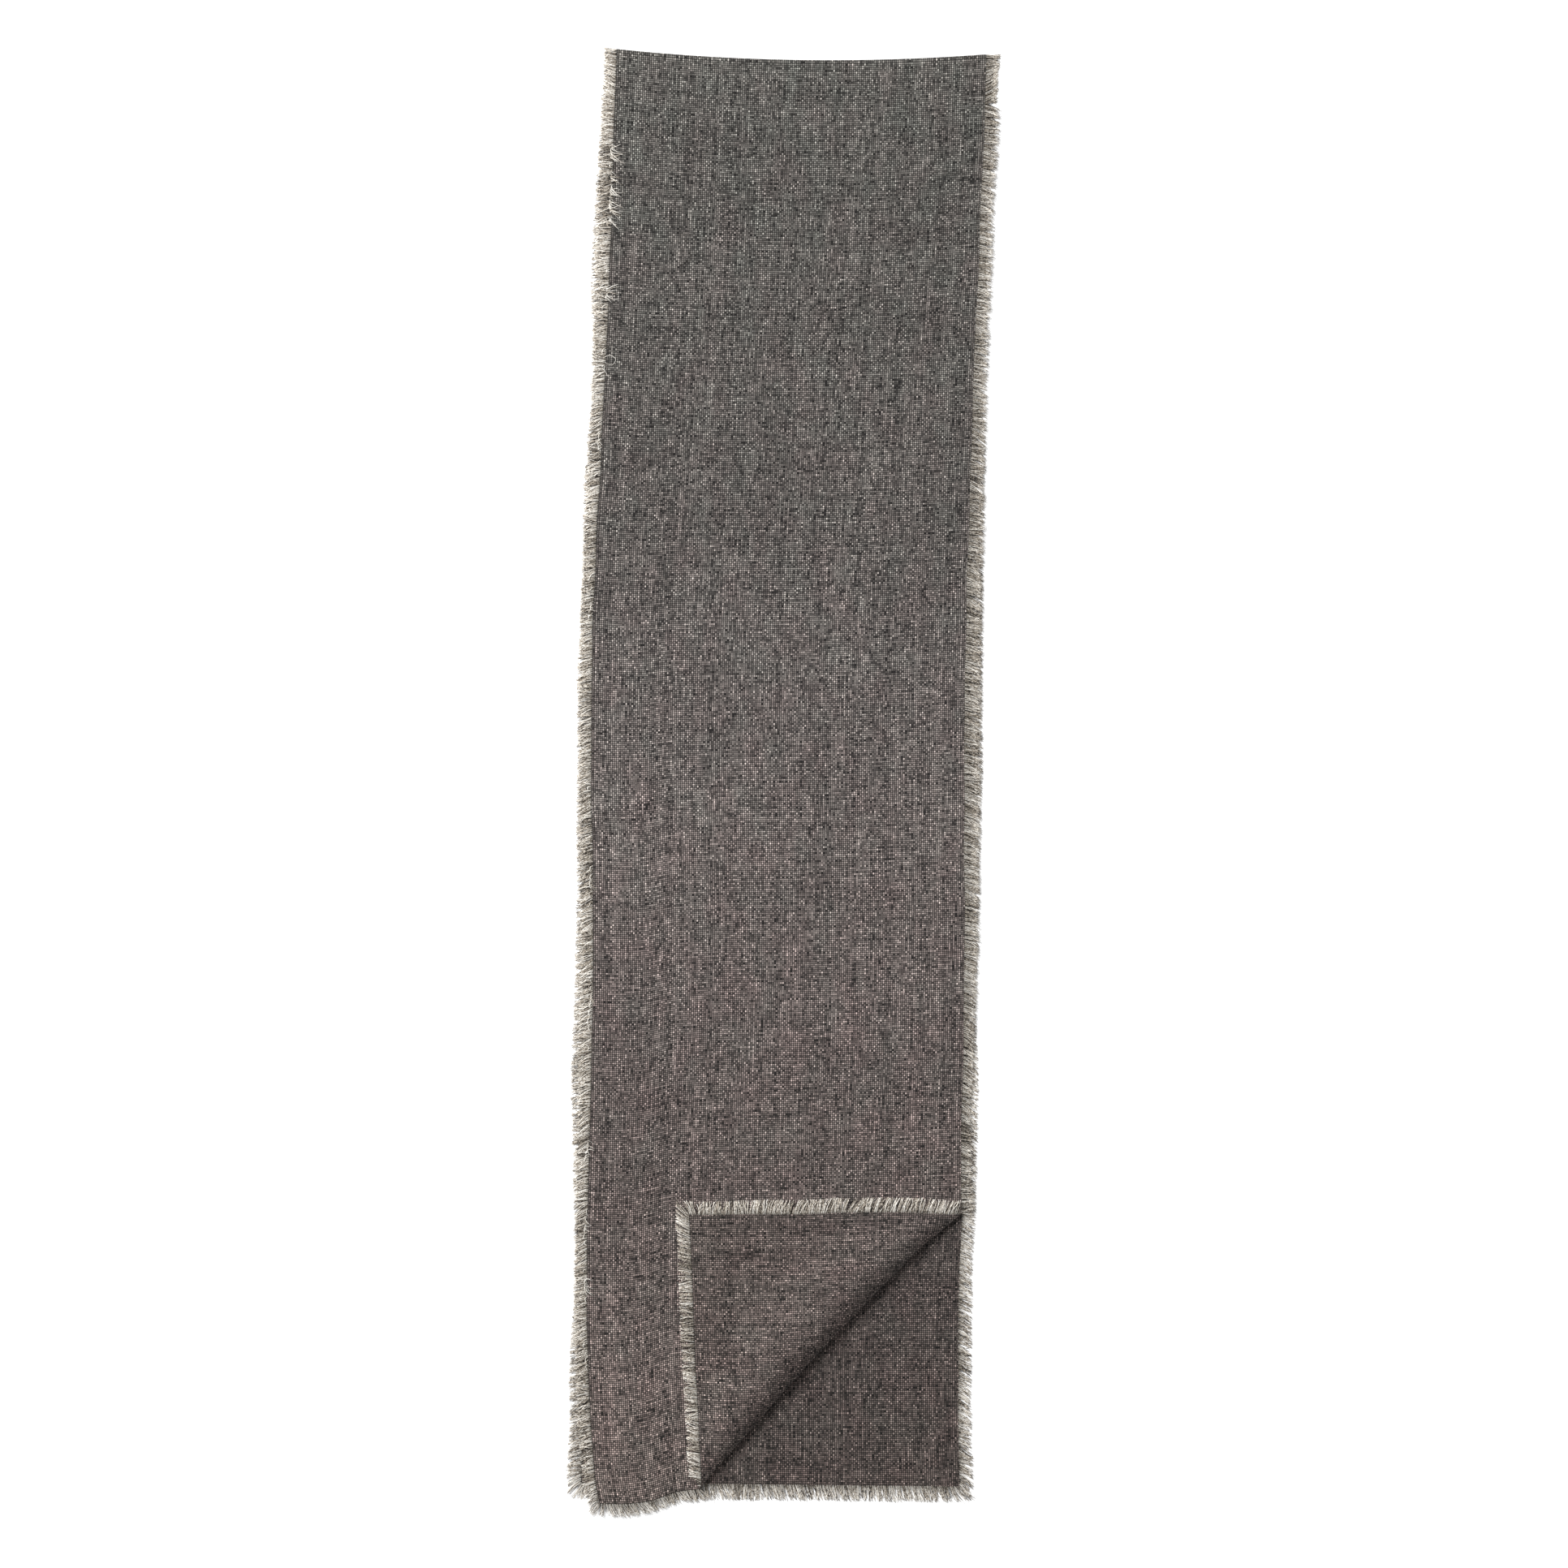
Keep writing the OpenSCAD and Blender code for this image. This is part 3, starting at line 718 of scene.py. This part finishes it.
def strand_material(name, dark, mid, pale, root=0.55):
    m, nt, bsdf = new_material(name)
    at = nt.nodes.new("ShaderNodeAttribute")
    at.attribute_name = "strand"
    sep = nt.nodes.new("ShaderNodeSeparateXYZ")
    nt.links.new(at.outputs["Vector"], sep.inputs[0])
    geo = nt.nodes.new("ShaderNodeTexCoord")
    fine = noise(nt, geo.outputs["Object"], 620.0, 2)
    broad = noise(nt, geo.outputs["Object"], 14.0, 2)
    tone = math_node(nt, "ADD", sep.outputs[0], math_node(nt, "ADD", span(nt, fine, 0.3, 0.7, -0.34, 0.34),
                                                          span(nt, broad, 0.3, 0.7, -0.10, 0.10)), clamp=True)
    col = ramp(nt, tone, [(0.0, dark), (0.45, mid), (1.0, pale)])
    # painted shade, in part: each strand is coloured darker towards its root, where the yarns crowd at the cloth's
    # edge, and a little lighter at its tip
    painted_root_shade_and_tone = ramp(nt, sep.outputs[1], [(0.0, [root] * 3 + [1]), (0.30, [0.5 + root / 2] * 3 + [1]), (0.75, [1.0] * 3 + [1]), (1.0, [1.06] * 3 + [1])])
    n = nt.nodes.new("ShaderNodeVectorMath")
    n.operation = "MULTIPLY"
    nt.links.new(col, n.inputs[0])
    nt.links.new(painted_root_shade_and_tone, n.inputs[1])
    nt.links.new(n.outputs[0], bsdf.inputs["Base Color"])
    nt.links.new(span(nt, fine, 0.3, 0.7, 0.8, 0.95), bsdf.inputs["Roughness"])
    bsdf.inputs["Specular IOR Level"].default_value = 0.25
    bsdf.inputs["Sheen Weight"].default_value = 0.08
    bump = nt.nodes.new("ShaderNodeBump")
    bump.inputs["Strength"].default_value = 0.4
    bump.inputs["Distance"].default_value = 0.00012
    nt.links.new(fine, bump.inputs["Height"])
    nt.links.new(bump.outputs[0], bsdf.inputs["Normal"])
    return m


linen = cloth_material()
yarn = strand_material("loose_yarn", lin((52, 46, 41)), lin((182, 171, 156)), lin((254, 250, 242)), root=0.33)
thread = strand_material("sewing_thread_spun", lin((60, 54, 50)), lin((82, 75, 70)), lin((116, 107, 101)), root=0.9)

# ---------------------------------------------------------------- the pieces
def steps(*parts):
    out = [np.linspace(a, b, max(2, int(round(abs(b - a) / d)) + 1))[:-1] for a, b, d in parts]
    return np.concatenate(out + [[parts[-1][1]]])


S_low = steps((-HALF_W, HALF_W, 3.5))
V_low = steps((-LOW_LEN, -60, 5.2), (-60, -12, 2.4), (-12, 12, 0.6), (12, SEAM, 2.4))
S_up = steps((-HALF_W, -60, 3.6), (-60, HALF_W, 2.2))
V_up = steps((SEAM, 860, 5.2), (860, 1040, 3.2), (1040, UP_LEN, 2.0))

cloth_lower = cloth("cloth_lower", S_low, V_low, ("lower_half", "upper_half"))
cloth_upper = cloth("cloth_upper", S_up, V_up, ("upper_half", "corner"))
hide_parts("lower_cloth", "half_fold_roll")
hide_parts("upper_cloth", "corner_fold_roll", "corner_cloth")

both, turn = ("lower_half", "upper_half"), ("upper_half", "corner")
right_len = lambda t: curve(t, [(0, 14.5), (300, 14), (600, 16.5), (750, 16), (900, 13), (1050, 11.5), (1085, 13), (1352, 13.5)])
left_len = lambda t: curve(t, [(0, 13.0), (60, 13.5), (200, 14.5), (400, 13.5), (600, 13), (850, 13), (1000, 13.5), (1150, 13), (1352, 13.5)])
right_lean = lambda t: curve(t, [(0, 0.20), (400, 0.30), (800, 0.35), (1050, 0.35), (1110, -0.15), (1352, -0.12)])
left_lean = lambda t: curve(t, [(0, 0.1), (400, 0.25), (900, 0.45), (1352, 0.35)])

f_low_left = fringe("fringe_lower_left", "left", -LOW_LEN, SEAM, both, 0, lambda t: curve(t, [(-1348, 15.5), (-1250, 14), (-700, 13), (-200, 12.5), (0, 12.5), (60, 13.0)]), -0.25, 21, 0.40)
f_low_right = fringe("fringe_lower_right", "right", -LOW_LEN, SEAM, both, 0, 13.6, -0.5, 22, 0.40)
f_low_end = fringe("fringe_lower_end", "low", -HALF_W, HALF_W, ("lower_half", None), 0, 15.6, 0.22, 23, 0.40)
f_up_left = fringe("fringe_upper_left", "left", SEAM, UP_LEN, ("upper_half", None), 1, left_len, left_lean, 24, 1.45, wild=1.35,
                   tufts=[(97, 9, 0.9), (130, 18, 1.0), (152, 7, 1.0), (205, 10, 0.3), (227, 7, 0.8), (292, 6, 0.5), (365, 16, 0.3), (520, 20, 0.3),
                          (700, 12, 0.3), (772, 14, 0.45), (880, 25, 0.3), (1018, 8, 0.6), (1090, 18, 0.35), (1150, 12, 0.55), (1215, 14, 0.3)],
                   tail=[stray("left", 292, [(1, 0, 0.6), (-6, 2, 1.2), (-9, -4, 1.3), (-3, -7, 1.1), (3, -4, 0.4)], 0.17, 0.8),
                         stray("left", 1022, [(4, 0, 0.2), (10, 3, -0.6), (12, 8, -1.0), (7, 10, -0.6)], 0.15, 0.8),
                         stray("left", 1150, [(5, -3, 0.2), (13, 0, -1.2), (15, 7, -1.6), (9, 10, -1.0)], 0.15, 0.75)])
f_up_right = fringe("fringe_upper_right", "right", SEAM, UP_LEN, turn, 1, right_len, right_lean, 25, 1.45)
f_up_end = fringe("fringe_upper_end", "up", -HALF_W, HALF_W, turn, 1, lambda t: curve(t, [(-175, 13), (-60, 12.5), (0, 13), (175, 13.5)]),
                  lambda t: curve(t, [(-175, 0.40), (-70, 0.40), (-40, 0.15), (175, 0.25)]), 26, 1.45)
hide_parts("lower_fringe_left", "half_fold_fringe_left")
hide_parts("lower_fringe_right", "half_fold_fringe_right")
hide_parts("lower_fringe_end")
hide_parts("upper_fringe_left")
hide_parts("upper_fringe_right", "corner_fold_fringe_side", "corner_fringe_side")
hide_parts("upper_fringe_end", "corner_fold_fringe_end", "corner_fringe_end")

low_lines = [("left", -LOW_LEN + 2, SEAM), ("right", -LOW_LEN + 2, SEAM), ("low", -HALF_W + 2, HALF_W - 2)]
up_lines = [("left", SEAM, UP_LEN - 2), ("right", SEAM, UP_LEN - 2), ("up", -HALF_W + 2, HALF_W - 2)]
n_low = stitches("stitches_lower_needle", low_lines, -1, both, 0)
b_low = stitches("stitches_lower_bobbin", low_lines, 1, both, 0)
n_up = stitches("stitches_upper_needle", up_lines, -1, turn, 1)
b_up = stitches("stitches_upper_bobbin", up_lines, 1, turn, 1)
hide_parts("lower_needle_thread")
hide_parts("lower_bobbin_thread")
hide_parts("upper_needle_thread", "corner_needle_thread")
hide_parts("upper_bobbin_thread", "corner_bobbin_thread")

for ob in (cloth_lower, cloth_upper):
    ob.data.materials.append(linen)
for ob in (f_low_left, f_low_right, f_low_end, f_up_left, f_up_right, f_up_end):
    ob.data.materials.append(yarn)
for ob in (n_low, b_low, n_up, b_up):
    ob.data.materials.append(thread)

# ---------------------------------------------------------------- floor, light, camera
me = bpy.data.meshes.new("floor")
me.from_pydata([(-8, -8, 0), (8, -8, 0), (8, 8, 0), (-8, 8, 0)], [], [(0, 1, 2, 3)])
floor = bpy.data.objects.new("floor", me)
bpy.context.scene.collection.objects.link(floor)
m, nt, bsdf = new_material("pale_floor")
bsdf.inputs["Base Color"].default_value = (0.93, 0.93, 0.93, 1)
bsdf.inputs["Roughness"].default_value = 0.9
bsdf.inputs["Specular IOR Level"].default_value = 0.1
me.materials.append(m)

world = bpy.context.scene.world or bpy.data.worlds.new("studio")
bpy.context.scene.world = world
world.use_nodes = True
bg = world.node_tree.nodes.get("Background") or world.node_tree.nodes.new("ShaderNodeBackground")
bg.inputs["Color"].default_value = (1, 1, 1, 1)
bg.inputs["Strength"].default_value = 0.42


def lamp(name, at, size, energy, aim=(0, 0, 0)):
    d = bpy.data.lights.new(name, "AREA")
    d.shape = "SQUARE"
    d.size = size
    d.energy = energy
    o = bpy.data.objects.new(name, d)
    o.location = at
    o.rotation_euler = (Vector(aim) - Vector(at)).to_track_quat("-Z", "Y").to_euler()
    bpy.context.scene.collection.objects.link(o)
    return o


lamp("key", (-3.55, 2.65, 3.25), 2.2, 525)
lamp("fill", (3.0, -2.2, 4.2), 3.0, 25)

cam = bpy.data.cameras.new("camera")
cam.lens = 200
cam.sensor_width = 36
cam.clip_end = 100
co = bpy.data.objects.new("camera", cam)
co.location = (0, 0, 0.742 * 200 / 18)
co.rotation_euler = (0, 0, math.radians(1.2))
bpy.context.scene.collection.objects.link(co)
bpy.context.scene.camera = co
bpy.context.scene.view_settings.view_transform = "Standard"

bpy.context.view_layer.update()
